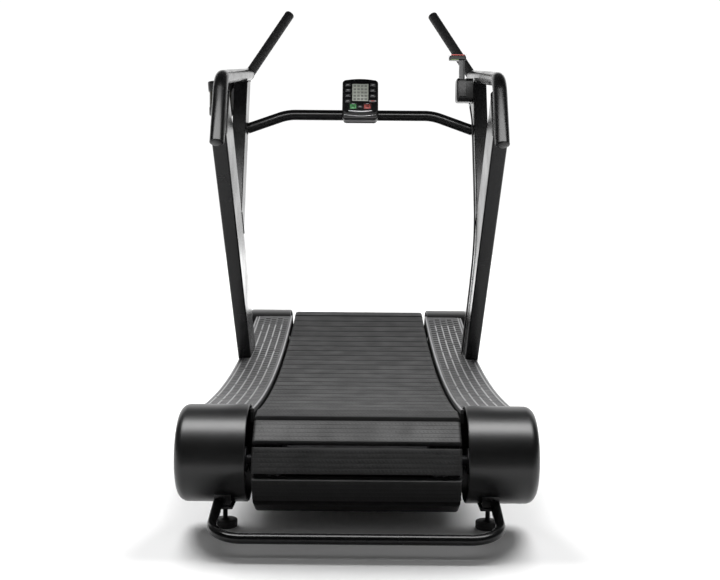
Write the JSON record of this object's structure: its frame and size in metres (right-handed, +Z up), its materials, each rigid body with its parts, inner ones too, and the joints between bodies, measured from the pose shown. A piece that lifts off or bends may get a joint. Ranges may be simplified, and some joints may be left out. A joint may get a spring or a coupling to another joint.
{
  "type": "curved manual treadmill",
  "caption": "Curved, self-powered treadmill with a slatted belt, patterned side rails, raked uprights, bent handrails, forward grips and a small console.",
  "frame": {"origin": "centre of the bounding box's bottom, on the floor", "axes": "+Z up, +Y along the belt towards the console, +X to the user's right"},
  "size_m": [0.888, 1.8192, 1.4468],
  "materials": {
    "aluminium": "turned aluminium",
    "console_plastic": "satin black",
    "cover_plastic": "satin black moulding",
    "grip_rubber": "matt black",
    "key_green": "green key",
    "key_grey": "grey key",
    "key_red": "red key",
    "lens": "clear window over a grey-green display",
    "lever_grey": "grey",
    "powder_black": "satin black powder coat",
    "rail_plastic": "mid-grey moulded plastic with raised bars",
    "slat_rubber": "matt ribbed rubber, dark grey",
    "steel": "turned steel",
    "wheel_rubber": "black rubber",
    "zinc": "zinc plated"
  },
  "bodies": {
    "frame": {"bottle_holder": "console_plastic", "brake_cable": "grip_rubber", "console_back": "console_plastic", "console_front": "console_plastic", "console_lens": "lens", "cross_member_front": "powder_black", "cross_member_middle": "powder_black", "cross_member_rear": "powder_black", "crossbar": "powder_black", "foot_rail_left": "rail_plastic", "foot_rail_right": "rail_plastic", "front_bearing_left": "zinc", "front_bearing_right": "zinc", "front_cover_left": "cover_plastic", "front_cover_right": "cover_plastic", "front_stand": "powder_black", "front_strut_left": "powder_black", "front_strut_right": "powder_black", "grip_left": "grip_rubber", "grip_right": "grip_rubber", "handrail_left": "powder_black", "handrail_right": "powder_black", "lever_housing": "console_plastic", "one_way_bearing": "zinc", "rear_bearing_left": "zinc", "rear_bearing_right": "zinc", "rear_cover_left": "cover_plastic", "rear_cover_right": "cover_plastic", "rear_lift_handle": "powder_black", "rear_upright_left": "powder_black", "rear_upright_right": "powder_black", "roller_track_left": "zinc", "roller_track_right": "zinc", "side_beam_left": "powder_black", "side_beam_right": "powder_black"},
    "belt_top": {"belt_top_run": "slat_rubber"},
    "belt_bottom": {"belt_bottom_run": "slat_rubber"},
    "rear_roller": {"belt_rear_turn": "slat_rubber", "rear_drum": "steel"},
    "front_roller": {"belt_front_turn": "slat_rubber", "front_drum": "steel", "brake_disc": "aluminium"},
    "magnet_arm": {"magnet_carrier": "zinc"},
    "lever": {"lever_arm": "lever_grey"},
    "wheel_left": {"transport_wheel_left": "wheel_rubber"},
    "rear_foot_left_body": {"rear_foot_left": "wheel_rubber"},
    "front_foot_left_body": {"front_foot_left": "wheel_rubber"},
    "wheel_right": {"transport_wheel_right": "wheel_rubber"},
    "rear_foot_right_body": {"rear_foot_right": "wheel_rubber"},
    "front_foot_right_body": {"front_foot_right": "wheel_rubber"},
    "key_left_1_body": {"key_left_1": "key_grey"},
    "key_left_2_body": {"key_left_2": "key_grey"},
    "key_left_3_body": {"key_left_3": "key_grey"},
    "key_left_4_body": {"key_left_4": "key_grey"},
    "key_right_1_body": {"key_right_1": "key_grey"},
    "key_right_2_body": {"key_right_2": "key_grey"},
    "key_right_3_body": {"key_right_3": "key_grey"},
    "start_key_body": {"start_key": "key_green"},
    "stop_key_body": {"stop_key": "key_red"},
    "mode_key_body": {"mode_key": "key_grey"}
  },
  "joints": [
    {"name": "belt_travel", "type": "hinge", "parent": "frame", "child": "belt_top", "pos_m": [0.024, -0.33356, 4.84107], "axis": [1, 0, 0], "range_deg": [-0.3913, 0.3913]},
    {"name": "rear_roller_turn", "type": "hinge", "parent": "frame", "child": "rear_roller", "pos_m": [0.024, -0.64514, 0.155], "axis": [1, 0, 0], "range_deg": [-18.2, 18.2]},
    {"name": "front_roller_turn", "type": "hinge", "parent": "frame", "child": "front_roller", "pos_m": [0.024, 0.78987, 0.281], "axis": [1, 0, 0], "range_deg": [-18.2, 18.2]},
    {"name": "belt_return", "type": "hinge", "parent": "frame", "child": "belt_bottom", "pos_m": [0.024, -0.83407, 10.54129], "axis": [1, 0, 0], "range_deg": [-0.175, 0.175]},
    {"name": "resistance_lever", "type": "hinge", "parent": "frame", "child": "lever", "pos_m": [0.336, 0.10687, 1.14], "axis": [1, 0, 0], "range_deg": [-20, 20]},
    {"name": "magnet_arm_swing", "type": "hinge", "parent": "frame", "child": "magnet_arm", "pos_m": [0.379, 0.83486, 0.364], "axis": [1, 0, 0], "range_deg": [-5.2, 5.2]},
    {"name": "wheel_spin_left", "type": "hinge", "parent": "frame", "child": "wheel_left", "pos_m": [-0.221, 0.73686, 0.038], "axis": [1, 0, 0], "continuous": true},
    {"name": "wheel_spin_right", "type": "hinge", "parent": "frame", "child": "wheel_right", "pos_m": [0.269, 0.73686, 0.038], "axis": [1, 0, 0], "continuous": true},
    {"name": "rear_foot_turn_left", "type": "hinge", "parent": "frame", "child": "rear_foot_left_body", "pos_m": [-0.286, -0.67014, 0], "axis": [0, 0, 1], "continuous": true},
    {"name": "rear_foot_turn_right", "type": "hinge", "parent": "frame", "child": "rear_foot_right_body", "pos_m": [0.334, -0.67014, 0], "axis": [0, 0, 1], "continuous": true},
    {"name": "front_foot_turn_left", "type": "hinge", "parent": "frame", "child": "front_foot_left_body", "pos_m": [-0.286, 0.62687, 0], "axis": [0, 0, 1], "continuous": true},
    {"name": "front_foot_turn_right", "type": "hinge", "parent": "frame", "child": "front_foot_right_body", "pos_m": [0.334, 0.62687, 0], "axis": [0, 0, 1], "continuous": true},
    {"name": "key_left_1_press", "type": "slide", "parent": "frame", "child": "key_left_1_body", "axis": [0, -0.9397, 0.342], "range_m": [-0.001, 0], "stiffness_N_per_m": 300},
    {"name": "key_left_2_press", "type": "slide", "parent": "frame", "child": "key_left_2_body", "axis": [0, -0.9397, 0.342], "range_m": [-0.001, 0], "stiffness_N_per_m": 300},
    {"name": "key_left_3_press", "type": "slide", "parent": "frame", "child": "key_left_3_body", "axis": [0, -0.9397, 0.342], "range_m": [-0.001, 0], "stiffness_N_per_m": 300},
    {"name": "key_left_4_press", "type": "slide", "parent": "frame", "child": "key_left_4_body", "axis": [0, -0.9397, 0.342], "range_m": [-0.001, 0], "stiffness_N_per_m": 300},
    {"name": "key_right_1_press", "type": "slide", "parent": "frame", "child": "key_right_1_body", "axis": [0, -0.9397, 0.342], "range_m": [-0.001, 0], "stiffness_N_per_m": 300},
    {"name": "key_right_2_press", "type": "slide", "parent": "frame", "child": "key_right_2_body", "axis": [0, -0.9397, 0.342], "range_m": [-0.001, 0], "stiffness_N_per_m": 300},
    {"name": "key_right_3_press", "type": "slide", "parent": "frame", "child": "key_right_3_body", "axis": [0, -0.9397, 0.342], "range_m": [-0.001, 0], "stiffness_N_per_m": 300},
    {"name": "start_key_press", "type": "slide", "parent": "frame", "child": "start_key_body", "axis": [0, -0.9397, 0.342], "range_m": [-0.001, 0], "stiffness_N_per_m": 300},
    {"name": "stop_key_press", "type": "slide", "parent": "frame", "child": "stop_key_body", "axis": [0, -0.9397, 0.342], "range_m": [-0.001, 0], "stiffness_N_per_m": 300},
    {"name": "mode_key_press", "type": "slide", "parent": "frame", "child": "mode_key_body", "axis": [0, -0.9397, 0.342], "range_m": [-0.001, 0], "stiffness_N_per_m": 300}
  ],
  "couplings": [
    {"joint": "rear_roller_turn", "follows": "belt_travel", "ratio": -46.003},
    {"joint": "front_roller_turn", "follows": "belt_travel", "ratio": -46.003},
    {"joint": "belt_return", "follows": "belt_travel", "ratio": -0.43827},
    {"joint": "magnet_arm_swing", "follows": "resistance_lever", "ratio": 0.25}
  ]
}
